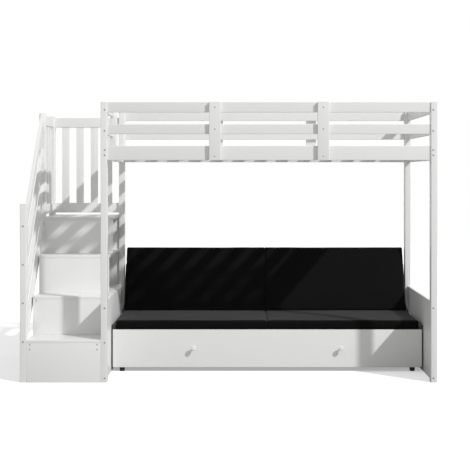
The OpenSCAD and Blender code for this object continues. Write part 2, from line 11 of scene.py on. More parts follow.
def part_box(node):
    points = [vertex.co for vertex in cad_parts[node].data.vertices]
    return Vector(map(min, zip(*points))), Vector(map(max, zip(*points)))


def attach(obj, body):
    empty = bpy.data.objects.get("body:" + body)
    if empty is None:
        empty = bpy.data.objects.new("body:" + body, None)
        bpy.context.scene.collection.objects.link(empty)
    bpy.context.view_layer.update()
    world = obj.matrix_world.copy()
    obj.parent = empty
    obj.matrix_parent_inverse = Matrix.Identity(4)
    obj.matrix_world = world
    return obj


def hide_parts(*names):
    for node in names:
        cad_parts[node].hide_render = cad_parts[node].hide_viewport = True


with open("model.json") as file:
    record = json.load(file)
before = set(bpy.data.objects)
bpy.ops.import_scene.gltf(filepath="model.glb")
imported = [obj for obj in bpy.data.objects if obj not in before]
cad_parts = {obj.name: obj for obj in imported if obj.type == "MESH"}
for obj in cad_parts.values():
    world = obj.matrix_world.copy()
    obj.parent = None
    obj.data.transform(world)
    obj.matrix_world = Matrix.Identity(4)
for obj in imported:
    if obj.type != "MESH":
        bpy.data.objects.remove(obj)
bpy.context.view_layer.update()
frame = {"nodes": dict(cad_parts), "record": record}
nodes = frame["nodes"]
scene = bpy.context.scene
scene.view_settings.view_transform = "Standard"


# Camera. It stands level a little right of the middle, at the photograph's
# distance, and the frame is lowered by its shift as in the photograph.
FRAME_PX = 470
HORIZON_PX = (237, 175)
FOCAL_PX = 1087
EYE_RIGHT = 0.0485
EYE_HEIGHT = 1.234
EYE_TO_POSTS = 6.458
SIGHT_END = 60
SENSOR_MM = 36


def linked(name, data):
    """A new object that holds its data, in the scene."""
    made = bpy.data.objects.new(name, data)
    scene.collection.objects.link(made)
    return made


posts_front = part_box("post_front_right")[0][1]
camera_data = bpy.data.cameras.new("camera")
camera_data.sensor_width = SENSOR_MM
camera_data.lens = FOCAL_PX / FRAME_PX * SENSOR_MM
camera_data.shift_x = (FRAME_PX / 2 - HORIZON_PX[0]) / FRAME_PX
camera_data.shift_y = (HORIZON_PX[1] - FRAME_PX / 2) / FRAME_PX
camera_data.clip_end = SIGHT_END
camera = linked("camera", camera_data)
camera.location = (EYE_RIGHT, posts_front - EYE_TO_POSTS, EYE_HEIGHT)
camera.rotation_euler = (math.pi / 2, 0, 0)
scene.camera = camera


# Light. One strip lamp stands high at the right of the front, about twenty-four
# metres off, as the photograph's shadows ask. It is long from front to back, which
# softens the shadows of upright and lengthwise edges, in an even pale room.
KEY_PLACE = Vector((14.0, -12.4, 15.0))
KEY_WIDE = 0.36
KEY_LONG = 1.3
KEY_REACH = KEY_PLACE.length
KEY_STRENGTH = 2.3
ROOM_LEVEL = 0.53
BACKDROP_LEVEL = 1.0
PLAIN_WHITE = (1, 1, 1, 1)

key_data = bpy.data.lights.new("key", "AREA")
key_data.shape = "RECTANGLE"
key_data.size = KEY_WIDE
key_data.size_y = KEY_LONG
key_facing = Vector((KEY_PLACE.x, 0, KEY_PLACE.z)).normalized()
key_data.energy = (KEY_STRENGTH * math.pi * KEY_REACH ** 2
                   / key_facing.dot(KEY_PLACE.normalized()))
key_data.use_nodes = True
key_tree = key_data.node_tree
falloff = key_tree.nodes.new("ShaderNodeLightFalloff")
falloff.inputs["Strength"].default_value = 1 / KEY_REACH ** 2
key_tree.links.new(falloff.outputs["Constant"], key_tree.nodes["Emission"].inputs["Strength"])
key = linked("key", key_data)
along = Vector((0, 1, 0))
key_turn = Matrix((along.cross(key_facing), along, key_facing)).transposed().to_4x4()
key.matrix_world = Matrix.Translation(KEY_PLACE) @ key_turn


def feed(tree, socket, value):
    """Gives a node's input a value, or another node's output."""
    if isinstance(value, bpy.types.NodeSocket):
        tree.links.new(value, socket)
    else:
        socket.default_value = value


def math_node(tree, operation, *terms):
    """One sum in a node tree, with sockets or numbers as its terms."""
    made = tree.nodes.new("ShaderNodeMath")
    made.operation = operation
    for socket, term in zip(made.inputs, terms):
        feed(tree, socket, term)
    return made.outputs[0]


def background(tree, strength):
    """A white background of one strength."""
    made = tree.nodes.new("ShaderNodeBackground")
    feed(tree, made.inputs["Color"], PLAIN_WHITE)
    feed(tree, made.inputs["Strength"], strength)
    return made.outputs[0]


world = bpy.data.worlds.new("room")
scene.world = world
world.use_nodes = True
room_tree = world.node_tree
room_tree.nodes.clear()
paths = room_tree.nodes.new("ShaderNodeLightPath").outputs
seen = math_node(room_tree, "MAXIMUM", paths["Is Camera Ray"], paths["Is Glossy Ray"])
seen = math_node(room_tree, "MAXIMUM", seen, paths["Is Transmission Ray"])
room = room_tree.nodes.new("ShaderNodeMixShader")
feed(room_tree, room.inputs[0], seen)
feed(room_tree, room.inputs[1], background(room_tree, ROOM_LEVEL))
feed(room_tree, room.inputs[2], background(room_tree, BACKDROP_LEVEL))
room_out = room_tree.nodes.new("ShaderNodeOutputWorld")
feed(room_tree, room_out.inputs["Surface"], room.outputs[0])


# Floor. A plain pale studio floor that keeps the furniture's shadow. The camera
# sees it nearly white, and it throws less light than that back on the object.
FLOOR_SEEN = (0.9, 0.9, 0.9, 1)
FLOOR_THROWN = (0.42, 0.42, 0.42, 1)
FLOOR_LIFT = 0.36
FLOOR_ROUGHNESS = 0.9
FLOOR_HALF = 14


def mesh_object(name, vertices, faces):
    """A new object whose place is in its mesh."""
    mesh = bpy.data.meshes.new(name)
    mesh.from_pydata(vertices, [], faces)
    mesh.update()
    return linked(name, mesh)


def new_material(name):
    """A node material, its tree and the inputs of its Principled BSDF."""
    material = bpy.data.materials.new(name)
    material.use_nodes = True
    tree = material.node_tree
    return material, tree, tree.nodes["Principled BSDF"].inputs


def colour_mix(tree, factor, first, second):
    """One colour that turns into another by a factor."""
    made = tree.nodes.new("ShaderNodeMix")
    made.data_type = "RGBA"
    for label, value in (("A", first), ("B", second), ("Factor", factor)):
        feed(tree, made.inputs[label], value)
    return made.outputs["Result"]


floor_paint, floor_tree, floor_look = new_material("studio_floor")
by_camera = floor_tree.nodes.new("ShaderNodeLightPath").outputs["Is Camera Ray"]
feed(floor_tree, floor_look["Base Color"],
     colour_mix(floor_tree, by_camera, FLOOR_THROWN, FLOOR_SEEN))
feed(floor_tree, floor_look["Emission Color"], PLAIN_WHITE)
feed(floor_tree, floor_look["Emission Strength"],
     math_node(floor_tree, "MULTIPLY", by_camera, FLOOR_LIFT))
feed(floor_tree, floor_look["Roughness"], FLOOR_ROUGHNESS)
feed(floor_tree, floor_look["Specular IOR Level"], 0)
corners = [(-FLOOR_HALF, -FLOOR_HALF, 0), (FLOOR_HALF, -FLOOR_HALF, 0),
           (FLOOR_HALF, FLOOR_HALF, 0), (-FLOOR_HALF, FLOOR_HALF, 0)]
floor = mesh_object("studio_floor", corners, [(0, 1, 2, 3)])
floor.data.materials.append(floor_paint)


# Posts and rails. Sawn pine, sanded, its long edges eased, and sprayed with a
# satin white that lets a trace of the grain through along each piece.
WHITE = (0.815, 0.815, 0.805, 1)
GRAIN_STRETCH = 0.035
GRAIN_SHARE = 1.0
GRAIN_NOISE = (90, 5, 0.62)
PORE_NOISE = (420, 2, 0.5)
CLOUD_NOISE = (2.6, 3, 0.5)
ORANGE_PEEL_NOISE = (520, 1, 0.4)
TONE_LEVEL = 0.97
TONE_CHANGE = 0.03
GLOSS_LEVEL = 0.36
GLOSS_CHANGE = 0.10
GRAIN_HEIGHT_SHARE = 0.7
PORE_HEIGHT_SHARE = 0.25
PEEL_HEIGHT_SHARE = 0.12
PAINT_RELIEF = 0.0006
PAINT_RELIEF_SHARE = 0.35
LACQUER_SHARE = 0.12
LACQUER_ROUGHNESS = 0.25


def group_with(name, inputs, outputs):
    """A shader node group with its sockets, and its own ends of them."""
    group = bpy.data.node_groups.new(name, "ShaderNodeTree")
    for socket, kind, value in inputs:
        made = group.interface.new_socket(name=socket, in_out="INPUT", socket_type=kind)
        if value is not None:
            made.default_value = value
    for socket, kind in outputs:
        group.interface.new_socket(name=socket, in_out="OUTPUT", socket_type=kind)
    return (group, group.nodes.new("NodeGroupInput").outputs,
            group.nodes.new("NodeGroupOutput").inputs)


def noise_node(tree, place, scale, detail, roughness):
    """A noise texture at a place; the values named NOISE give its last three."""
    made = tree.nodes.new("ShaderNodeTexNoise")
    for label, value in (("Vector", place), ("Scale", scale), ("Detail", detail),
                         ("Roughness", roughness)):
        feed(tree, made.inputs[label], value)
    return made.outputs["Fac"]


# Sprayed paint: Along is stretched along the grain, Even isn't stretched.
paint_group, paint_in, paint_out = group_with(
    "sprayed_paint",
    [("Along", "NodeSocketVector", None), ("Even", "NodeSocketVector", None),
     ("Colour", "NodeSocketColor", WHITE), ("Grain", "NodeSocketFloat", GRAIN_SHARE)],
    [("Colour", "NodeSocketColor"), ("Roughness", "NodeSocketFloat"),
     ("Height", "NodeSocketFloat")])
grain = noise_node(paint_group, paint_in["Along"], *GRAIN_NOISE)
pores = noise_node(paint_group, paint_in["Along"], *PORE_NOISE)
cloudy = noise_node(paint_group, paint_in["Even"], *CLOUD_NOISE)
orange_peel = noise_node(paint_group, paint_in["Even"], *ORANGE_PEEL_NOISE)
grain_depth = math_node(paint_group, "MULTIPLY", grain, paint_in["Grain"])
tone = math_node(paint_group, "MULTIPLY_ADD", cloudy, TONE_CHANGE, TONE_LEVEL)
tone = math_node(paint_group, "MULTIPLY_ADD", grain_depth, TONE_CHANGE, tone)
toned = paint_group.nodes.new("ShaderNodeVectorMath")
toned.operation = "SCALE"
feed(paint_group, toned.inputs[0], paint_in["Colour"])
feed(paint_group, toned.inputs["Scale"], tone)
feed(paint_group, paint_out["Colour"], toned.outputs[0])
feed(paint_group, paint_out["Roughness"],
     math_node(paint_group, "MULTIPLY_ADD", cloudy, GLOSS_CHANGE, GLOSS_LEVEL))
relief = math_node(paint_group, "MULTIPLY", grain_depth, GRAIN_HEIGHT_SHARE)
relief = math_node(paint_group, "MULTIPLY_ADD", pores, PORE_HEIGHT_SHARE, relief)
relief = math_node(paint_group, "MULTIPLY_ADD", orange_peel, PEEL_HEIGHT_SHARE, relief)
feed(paint_group, paint_out["Height"], relief)


def place_on(tree):
    """The object's own coordinates."""
    return tree.nodes.new("ShaderNodeTexCoord").outputs["Object"]


def mapped(tree, place, change, values):
    """A place with the Rotation or the Scale of a Mapping node."""
    made = tree.nodes.new("ShaderNodeMapping")
    feed(tree, made.inputs[change], values)
    feed(tree, made.inputs["Vector"], place)
    return made.outputs["Vector"]


def bumped(tree, height, depth, share):
    """The normal of a surface with a fine relief."""
    made = tree.nodes.new("ShaderNodeBump")
    for label, value in (("Height", height), ("Distance", depth), ("Strength", share)):
        feed(tree, made.inputs[label], value)
    return made.outputs["Normal"]


def painted(name, grain_axis, turn=(0, 0, 0)):
    """White satin paint whose grain runs along one axis, 0 for X, 1 for Y, 2 for Z."""
    material, tree, look = new_material(name)
    turned = mapped(tree, place_on(tree), "Rotation", turn)
    stretch = [GRAIN_STRETCH if axis == grain_axis else 1 for axis in range(3)]
    paint = tree.nodes.new("ShaderNodeGroup")
    paint.node_tree = paint_group
    feed(tree, paint.inputs["Along"], mapped(tree, turned, "Scale", stretch))
    feed(tree, paint.inputs["Even"], turned)
    feed(tree, paint.inputs["Colour"], WHITE)
    feed(tree, paint.inputs["Grain"], GRAIN_SHARE)
    feed(tree, look["Base Color"], paint.outputs["Colour"])
    feed(tree, look["Roughness"], paint.outputs["Roughness"])
    feed(tree, look["Normal"],
         bumped(tree, paint.outputs["Height"], PAINT_RELIEF, PAINT_RELIEF_SHARE))
    feed(tree, look["Coat Weight"], LACQUER_SHARE)
    feed(tree, look["Coat Roughness"], LACQUER_ROUGHNESS)
    return material


white_x = painted("white_paint_lengthwise", 0)
white_y = painted("white_paint_crosswise", 1)
white_z = painted("white_paint_upright", 2)

RAIL_EASE = 0.0009
BOARD_EASE = 0.0012
EASE_ANGLE = math.radians(50)
EASE_PROFILE = 0.7
EASE_STEPS = 2
SMOOTH_ANGLE = math.radians(35)
FLAT_ANGLE = math.radians(1)
WELD = 1e-6


def welded_copy(node):
    """A CAD node's mesh with its doubled vertices merged, as a bmesh."""
    copy = bmesh.new()
    copy.from_mesh(nodes[node].data)
    bmesh.ops.remove_doubles(copy, verts=copy.verts, dist=WELD)
    bmesh.ops.dissolve_limit(copy, angle_limit=FLAT_ANGLE, verts=copy.verts, edges=copy.edges)
    return copy


def eased_edges(shape, edges, ease, profile=EASE_PROFILE):
    """Takes the sharpness off edges."""
    bmesh.ops.bevel(shape, geom=edges, offset=ease, offset_type="OFFSET", segments=EASE_STEPS,
                    profile=profile, affect="EDGES", clamp_overlap=True)


def sharp_edges(shape):
    """The edges between two faces that meet at an angle."""
    return [edge for edge in shape.edges
            if len(edge.link_faces) == 2 and edge.calc_face_angle(0) > EASE_ANGLE]


def mesh_of(shape, name):
    """A bmesh as a mesh; the bmesh goes."""
    mesh = bpy.data.meshes.new(name)
    shape.to_mesh(mesh)
    shape.free()
    return mesh


def finished(mesh, name, material, smooth_angle=SMOOTH_ANGLE):
    """An object in one material that is smooth over small angles."""
    mesh.materials.clear()
    mesh.materials.append(material)
    for face in mesh.polygons:
        face.use_smooth = True
        face.material_index = 0
    mesh.set_sharp_from_angle(angle=smooth_angle)
    return linked(name, mesh)


def stands_for(made, node, body):
    """Puts a finished piece on its body in place of its CAD node."""
    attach(made, body)
    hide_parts(node)


def eased(node, material, ease=BOARD_EASE, body="bunk_frame"):
    """A board as it leaves the shop: the CAD node's shape with eased edges."""
    copy = welded_copy(node)
    eased_edges(copy, sharp_edges(copy), ease)
    name = node + "_board"
    stands_for(finished(mesh_of(copy, name), name, material), node, body)


for post in ("post_front_left", "post_front_right", "post_back_left", "post_back_right",
             "entry_post"):
    eased(post, white_z, RAIL_EASE)
for side, white in (("front", white_x), ("back", white_x), ("left", white_y), ("right", white_y)):
    for level in ("top", "mid", "bed"):
        eased(f"{side}_{level}_rail", white, RAIL_EASE)
eased("front_stiles", white_z, RAIL_EASE)
eased("back_stiles", white_z, RAIL_EASE)
eased("back_cross_rail", white_x, RAIL_EASE)


# Slatted bed. Two ledgers screwed inside the long rails carry the painted
# slats, which lie across them like the rungs of a ladder.
SLAT_EASE = 0.002
SORT_DIGITS = 4


def islands(node):
    """The box of each separate solid in a CAD node: its middle and its size."""
    copy = welded_copy(node)
    left = set(copy.verts)
    boxes = []
    while left:
        edge_of_walk = [left.pop()]
        found = list(edge_of_walk)
        while edge_of_walk:
            vertex = edge_of_walk.pop()
            for edge in vertex.link_edges:
                other = edge.other_vert(vertex)
                if other in left:
                    left.remove(other)
                    found.append(other)
                    edge_of_walk.append(other)
        low = Vector([min(v.co[i] for v in found) for i in range(3)])
        high = Vector([max(v.co[i] for v in found) for i in range(3)])
        boxes.append(((low + high) / 2, high - low))
    copy.free()
    return sorted(boxes, key=lambda entry: tuple(round(c, SORT_DIGITS) for c in entry[0]))


def repeat_tree(name):
    """Geometry Nodes: one shape on every point, turned by the point's aim."""
    made = bpy.data.node_groups.new(name, "GeometryNodeTree")
    sockets = {}
    for label, kind in (("Geometry", "NodeSocketGeometry"), ("Shape", "NodeSocketObject"),
                        ("Size", "NodeSocketVector"), ("Finish", "NodeSocketMaterial")):
        sockets[label] = made.interface.new_socket(name=label, in_out="INPUT",
                                                   socket_type=kind).identifier
    made.interface.new_socket(name="Geometry", in_out="OUTPUT",
                              socket_type="NodeSocketGeometry")
    start = made.nodes.new("NodeGroupInput")
    end = made.nodes.new("NodeGroupOutput")
    points = made.nodes.new("GeometryNodeMeshToPoints")
    aim = made.nodes.new("GeometryNodeInputNamedAttribute")
    aim.data_type = "FLOAT_VECTOR"
    aim.inputs["Name"].default_value = "aim"
    turn = made.nodes.new("FunctionNodeEulerToRotation")
    shape = made.nodes.new("GeometryNodeObjectInfo")
    spread = made.nodes.new("GeometryNodeInstanceOnPoints")
    solid = made.nodes.new("GeometryNodeRealizeInstances")
    finish = made.nodes.new("GeometryNodeSetMaterial")
    join = made.links.new
    join(start.outputs["Geometry"], points.inputs["Mesh"])
    join(start.outputs["Shape"], shape.inputs["Object"])
    join(points.outputs["Points"], spread.inputs["Points"])
    join(shape.outputs["Geometry"], spread.inputs["Instance"])
    join(aim.outputs["Attribute"], turn.inputs["Euler"])
    join(turn.outputs["Rotation"], spread.inputs["Rotation"])
    join(start.outputs["Size"], spread.inputs["Scale"])
    join(spread.outputs["Instances"], solid.inputs["Geometry"])
    join(solid.outputs["Geometry"], finish.inputs["Geometry"])
    join(start.outputs["Finish"], finish.inputs["Material"])
    join(finish.outputs["Geometry"], end.inputs["Geometry"])
    return made, sockets


repeat, repeat_sockets = repeat_tree("repeat_on_points")


def evaluated(holder):
    """The modified mesh of an object as a new mesh."""
    bpy.context.view_layer.update()
    return bpy.data.meshes.new_from_object(
        holder.evaluated_get(bpy.context.evaluated_depsgraph_get()))


def repeated(name, shape, places, material, smooth_angle=SMOOTH_ANGLE):
    """Sets a shape at each (point, euler) with the repeat tree, as one plain mesh."""
    holder = mesh_object(name + "_points", [tuple(point) for point, _ in places], [])
    aim = holder.data.attributes.new("aim", "FLOAT_VECTOR", "POINT")
    for i, (_, euler) in enumerate(places):
        aim.data[i].vector = euler
    modifier = holder.modifiers.new("repeat", "NODES")
    modifier.node_group = repeat
    modifier[repeat_sockets["Shape"]] = shape
    modifier[repeat_sockets["Size"]] = (1, 1, 1)
    modifier[repeat_sockets["Finish"]] = material
    mesh = evaluated(holder)
    mesh.name = name
    made = finished(mesh, name, material, smooth_angle)
    bpy.data.objects.remove(holder)
    bpy.data.objects.remove(shape)
    return made


def board_shape(size, ease):
    """One board round the origin, with eased edges."""
    shape = bmesh.new()
    bmesh.ops.create_cube(shape, size=1, matrix=Matrix.Diagonal((*size, 1)))
    eased_edges(shape, shape.edges[:], ease)
    return linked("board_shape", mesh_of(shape, "board_shape"))


def repeated_boards(node, material, ease, body="bunk_frame"):
    """The boards of a CAD node that are all alike, each set where its solid is."""
    found = islands(node)
    made = repeated(node + "_set", board_shape(found[0][1], ease),
                    [(middle, (0, 0, 0)) for middle, _ in found], material)
    stands_for(made, node, body)


repeated_boards("bed_slats", white_y, SLAT_EASE)
repeated_boards("slat_ledgers", white_x, BOARD_EASE)


# End panels. Painted boards set between the posts at each end, flush with the
# outside, from the floor to knee height.
eased("left_end_panel", white_y)
eased("right_end_panel", white_y)


# Staircase. Three newels hold four sloped side rails; box-like steps with
# rounded noses stand beside them and close in a back panel.
RISE_PER_RUN = 1.14
SLOPED_EASE = 0.0025

white_slope = painted("white_paint_sloped", 1, turn=(-math.atan(RISE_PER_RUN), 0, 0))
for newel in ("newel_front", "newel_middle", "newel_back"):
    eased(newel, white_z, RAIL_EASE)
eased("stair_rails", white_slope, SLOPED_EASE)
for step in ("tread_1", "tread_2", "tread_3", "landing", "riser_1", "upper_risers"):
    eased(step, white_x)
eased("stair_side_panel", white_y)
eased("stair_back_panel", white_z)
eased("stair_cleats", white_y)


# Landing guard. Upright balusters stand between two rails at the back and at
# the open side of the landing.
eased("landing_back_rails", white_x, RAIL_EASE)
eased("landing_side_rails", white_y, RAIL_EASE)
repeated_boards("landing_back_balusters", white_z, SLAT_EASE)
repeated_boards("landing_side_balusters", white_z, SLAT_EASE)


# Bolts and screws. Zinc-plated domed heads sit proud of the painted wood, those
# of the bolts with a hexagon socket and those of the screws with a square one.
ZINC_COLOUR = (0.42, 0.42, 0.43, 1)
ZINC_ROUGHNESS = 0.32
ZINC_ROUGHNESS_CHANGE = 0.25
ZINC_NOISE = (900, 3, 0.6)
DARK_SHARE = 0.82
LIGHT_SHARE = 1.12
HEAD_STEPS = 24
HEAD_SHARES = [(1.0, 0.0), (1.0, 0.35), (0.93, 0.62), (0.8, 0.85), (0.62, 0.97)]
SOCKET_SHARE = 0.5
SOCKET_FLOOR_SHARE = 0.25
BOLT_SOCKET = 6
SCREW_SOCKET = 4


def varied(tree, colour, mask):
    """A colour that a mask makes a little darker or lighter."""
    darker = [part * DARK_SHARE for part in colour[:3]] + [1]
    lighter = [min(part * LIGHT_SHARE, 1) for part in colour[:3]] + [1]
    return colour_mix(tree, mask, darker, lighter)


zinc, zinc_tree, zinc_look = new_material("zinc_plate")
zinc_grain = noise_node(zinc_tree, place_on(zinc_tree), *ZINC_NOISE)
feed(zinc_tree, zinc_look["Base Color"], varied(zinc_tree, ZINC_COLOUR, zinc_grain))
feed(zinc_tree, zinc_look["Roughness"],
     math_node(zinc_tree, "MULTIPLY_ADD", zinc_grain, ZINC_ROUGHNESS_CHANGE, ZINC_ROUGHNESS))
feed(zinc_tree, zinc_look["Metallic"], 1)


def ring_of(shape, steps, height, reach):
    """A ring of vertices round the Z axis; reach gives the radius at a turn."""
    turns = [2 * math.pi * k / steps for k in range(steps)]
    return [shape.verts.new((reach(turn) * math.cos(turn), reach(turn) * math.sin(turn), height))
            for turn in turns]


def skin(shape, rings):
    """Faces between rings with as many vertices each."""
    for lower, upper in zip(rings, rings[1:]):
        for k in range(len(lower)):
            following = (k + 1) % len(lower)
            shape.faces.new((lower[k], lower[following], upper[following], upper[k]))


def head_shape(diameter, height, socket_sides):
    """A domed head along +Z from the origin, with a polygonal socket."""
    shape = bmesh.new()
    radius = diameter / 2
    half_side = math.pi / socket_sides
    rings = [ring_of(shape, HEAD_STEPS, height * level, lambda turn: radius * share)
             for share, level in HEAD_SHARES]
    rings += [ring_of(shape, HEAD_STEPS, height * level, lambda turn: (
        radius * SOCKET_SHARE * math.cos(half_side)
        / math.cos(turn % (2 * half_side) - half_side)))
        for level in (1, SOCKET_FLOOR_SHARE)]
    skin(shape, rings)
    shape.faces.new(rings[-1])
    shape.faces.new(rings[0][::-1])
    return linked("head_shape", mesh_of(shape, "head_shape"))


def set_heads(node, socket_sides):
    """Heads on the seats that the CAD node gives, each facing out of its face."""
    places = []
    for middle, size in islands(node):
        thin = min(range(3), key=lambda i: size[i])
        if thin == 0:
            facing, euler = Vector((1, 0, 0)), (0, math.pi / 2, 0)
        elif thin == 2:
            facing, euler = Vector((0, 0, 1)), (0, 0, 0)
        elif middle.y < 0 or node == "stair_screws":
            facing, euler = Vector((0, -1, 0)), (math.pi / 2, 0, 0)
        else:
            facing, euler = Vector((0, 1, 0)), (-math.pi / 2, 0, 0)
        height = size[thin]
        places.append((middle - facing * height / 2, euler))
    head = head_shape(max(size), height, socket_sides)
    stands_for(repeated(node + "_heads", head, places, zinc), node, "bunk_frame")


set_heads("frame_bolts", BOLT_SOCKET)
set_heads("guard_screws", SCREW_SOCKET)
set_heads("stair_screws", SCREW_SOCKET)
set_heads("slat_screws", SCREW_SOCKET)


# Sofa front. A white board across the sofa, with two turned wooden knobs that
# the sofa is pulled out by.
TURNED_STEPS = 32
TURNED_SMOOTH = math.radians(50)
KNOB_SHARES = [(0, 0), (0.50, 0), (0.50, 0.02), (0.44, 0.08), (0.40, 0.18), (0.38, 0.32),
               (0.39, 0.44), (0.44, 0.54), (0.62, 0.61), (0.86, 0.66), (0.96, 0.72),
               (1.0, 0.80), (0.99, 0.89), (0.94, 0.95), (0.85, 0.985), (0.72, 0.996),
               (0.35, 1.0), (0, 1.0)]


def turned_shape(name, radius, height, shares):
    """A lathe-turned shape up +Z, of shares of its radius and height."""
    shape = bmesh.new()
    rings = [ring_of(shape, TURNED_STEPS, height * level, lambda turn: radius * share)
             for share, level in shares[1:-1]]
    skin(shape, rings)
    for ring, (_, level) in ((rings[0][::-1], shares[0]), (rings[-1], shares[-1])):
        tip = shape.verts.new((0, 0, height * level))
        for k in range(TURNED_STEPS):
            shape.faces.new((tip, ring[k], ring[(k + 1) % TURNED_STEPS]))
    return linked(name, mesh_of(shape, name))


eased("sofa_front_board", white_x, RAIL_EASE, "sofa_base")
knob_boxes = islands("knobs")
knob_size = knob_boxes[0][1]
knob = turned_shape("pull_knobs", knob_size.z / 2, knob_size.y, KNOB_SHARES)
knobs = repeated("pull_knobs", knob,
                 [(middle + Vector((0, size.y / 2, 0)), (math.pi / 2, 0, 0))
                  for middle, size in knob_boxes], white_y, TURNED_SMOOTH)
stands_for(knobs, "knobs", "sofa_base")


# Sofa frame. Square steel tube, welded and powder-coated black, with pressed
# hinge plates and headed pins between the seat and the back.
STEEL_COLOUR = (0.022, 0.022, 0.024, 1)
STEEL_GRIT = 800
STEEL_RELIEF = 0.0003
PLATE_EASE = 0.0008
TUBE_EASE = 0.0006
STEEL_PROFILE = 0.5
COAT_ROUGHNESS = 0.38
COAT_ROUGHNESS_CHANGE = 0.16
COAT_CLOUD_NOISE = (14, 3, 0.5)
COAT_GRIT_DETAIL = 2
COAT_GRIT_ROUGHNESS = 0.5
COAT_RELIEF_SHARE = 0.4

coat_group, coat_in, coat_out = group_with(
    "powder_coat",
    [("Place", "NodeSocketVector", None), ("Grit", "NodeSocketFloat", STEEL_GRIT)],
    [("Roughness", "NodeSocketFloat"), ("Height", "NodeSocketFloat"),
     ("Tone", "NodeSocketFloat")])
broad = noise_node(coat_group, coat_in["Place"], *COAT_CLOUD_NOISE)
feed(coat_group, coat_out["Height"],
     noise_node(coat_group, coat_in["Place"], coat_in["Grit"], COAT_GRIT_DETAIL,
                COAT_GRIT_ROUGHNESS))
feed(coat_group, coat_out["Roughness"],
     math_node(coat_group, "MULTIPLY_ADD", broad, COAT_ROUGHNESS_CHANGE, COAT_ROUGHNESS))
feed(coat_group, coat_out["Tone"], broad)


def coated(name, colour, grit, relief):
    """Black coating or moulded plastic with a fine even texture."""
    material, tree, look = new_material(name)
    coat = tree.nodes.new("ShaderNodeGroup")
    coat.node_tree = coat_group
    feed(tree, coat.inputs["Grit"], grit)
    feed(tree, coat.inputs["Place"], place_on(tree))
    feed(tree, look["Normal"], bumped(tree, coat.outputs["Height"], relief, COAT_RELIEF_SHARE))
    feed(tree, look["Roughness"], coat.outputs["Roughness"])
    feed(tree, look["Base Color"], varied(tree, colour, coat.outputs["Tone"]))
    return material


black_steel = coated("black_powder_coat", STEEL_COLOUR, STEEL_GRIT, STEEL_RELIEF)


def steel(node, body, ease):
    """A steel piece with the rounded outer edges of drawn tube."""
    copy = welded_copy(node)
    outer = [edge for edge in sharp_edges(copy) if edge.is_convex]
    eased_edges(copy, outer, ease, STEEL_PROFILE)
    name = node + "_steel"
    stands_for(finished(mesh_of(copy, name), name, black_steel), node, body)


steel("seat_end_frames", "sofa_base", PLATE_EASE)
steel("seat_long_tubes", "sofa_base", TUBE_EASE)
steel("back_side_bars", "sofa_back", PLATE_EASE)
steel("back_cross_bars", "sofa_back", TUBE_EASE)
pins = nodes["hinge_pins"]
pins.data.materials.clear()
pins.data.materials.append(zinc)


# Glide feet. Tapered black plastic plugs under the long tubes, on which the
# sofa slides over the floor.
PLASTIC_COLOUR = (0.02, 0.02, 0.021, 1)
PLASTIC_GRIT = 1500
PLASTIC_RELIEF = 0.0002
FOOT_SHARES = [(0, 0), (0.78, 0), (0.83, 0.06), (0.85, 0.14), (0.97, 0.82), (1.0, 0.86),
               (1.0, 1.0), (0, 1.0)]

black_plastic = coated("black_moulding", PLASTIC_COLOUR, PLASTIC_GRIT, PLASTIC_RELIEF)
foot_boxes = islands("glide_feet")
foot_size = foot_boxes[0][1]
foot = turned_shape("glide_feet_set", foot_size.x / 2, foot_size.z, FOOT_SHARES)
feet = repeated("glide_feet_set", foot,
                [(middle - Vector((0, 0, foot_size.z / 2)), (0, 0, 0))
                 for middle, _ in foot_boxes], black_plastic, TURNED_SMOOTH)
stands_for(feet, "glide_feet", "sofa_base")


# Sofa slats. Bare bent-plywood slats, the seat's across the long tubes and the
# back's between its cross bars.
BIRCH_COLOUR = (0.66, 0.50, 0.33, 1)
BIRCH_ROUGHNESS = 0.6
BIRCH_LINE_NOISE = (160, 6, 0.65)
BIRCH_RELIEF = 0.0004
BIRCH_RELIEF_SHARE = 0.4


def plywood(name, turn):
    """Bare birch: pale, with long grain lines along the slat."""
    material, tree, look = new_material(name)
    turned = mapped(tree, place_on(tree), "Rotation", turn)
    stretched = mapped(tree, turned, "Scale", (1, GRAIN_STRETCH, 1))
    lines = noise_node(tree, stretched, *BIRCH_LINE_NOISE)
    feed(tree, look["Base Color"], varied(tree, BIRCH_COLOUR, lines))
    feed(tree, look["Normal"], bumped(tree, lines, BIRCH_RELIEF, BIRCH_RELIEF_SHARE))
    feed(tree, look["Roughness"], BIRCH_ROUGHNESS)
    return material


motions = {joint["name"]: joint for joint in frame["record"]["behaviour"]["joints"]}
lean = math.radians(-motions["back_recline"]["range_deg"][0])
repeated_boards("seat_slats", plywood("birch_seat", (0, 0, 0)), SLAT_EASE,
                "sofa_base")
eased("back_slats", plywood("birch_back", (-lean, 0, 0)), SLAT_EASE, "sofa_back")


# Cushions. Foam slabs in black woven covers: two on the seat and two on the
# back, each boxed by a sewn edge, crowned by its stuffing.
CLOTH_COLOUR = (0.0042, 0.0042, 0.0043, 1)
# Painted sheen: the lighter colour that the cloth's base colour turns to at grazing views.
PAINTED_SHEEN_COLOUR = (0.070, 0.070, 0.071, 1)
PAINTED_SHEEN_POWER = 3
PAINTED_SHEEN_BLEND = 0.5
THREAD_PITCH = 0.0022
THREAD_SHARE = 0.5
SLUB_NOISE = (260, 4, 0.6)
SLUB_SHARE = 0.8
CLOTH_CLOUD_NOISE = (9, 3, 0.5)
CLOTH_RELIEF = 0.0005
CLOTH_RELIEF_SHARE = 0.5
CLOTH_ROUGHNESS = 0.58
CLOTH_ROUGHNESS_CHANGE = 0.2
CLOTH_SHINE = 0.05
CLOTH_SHEEN = 0.02
CLOTH_SHEEN_ROUGHNESS = 0.3


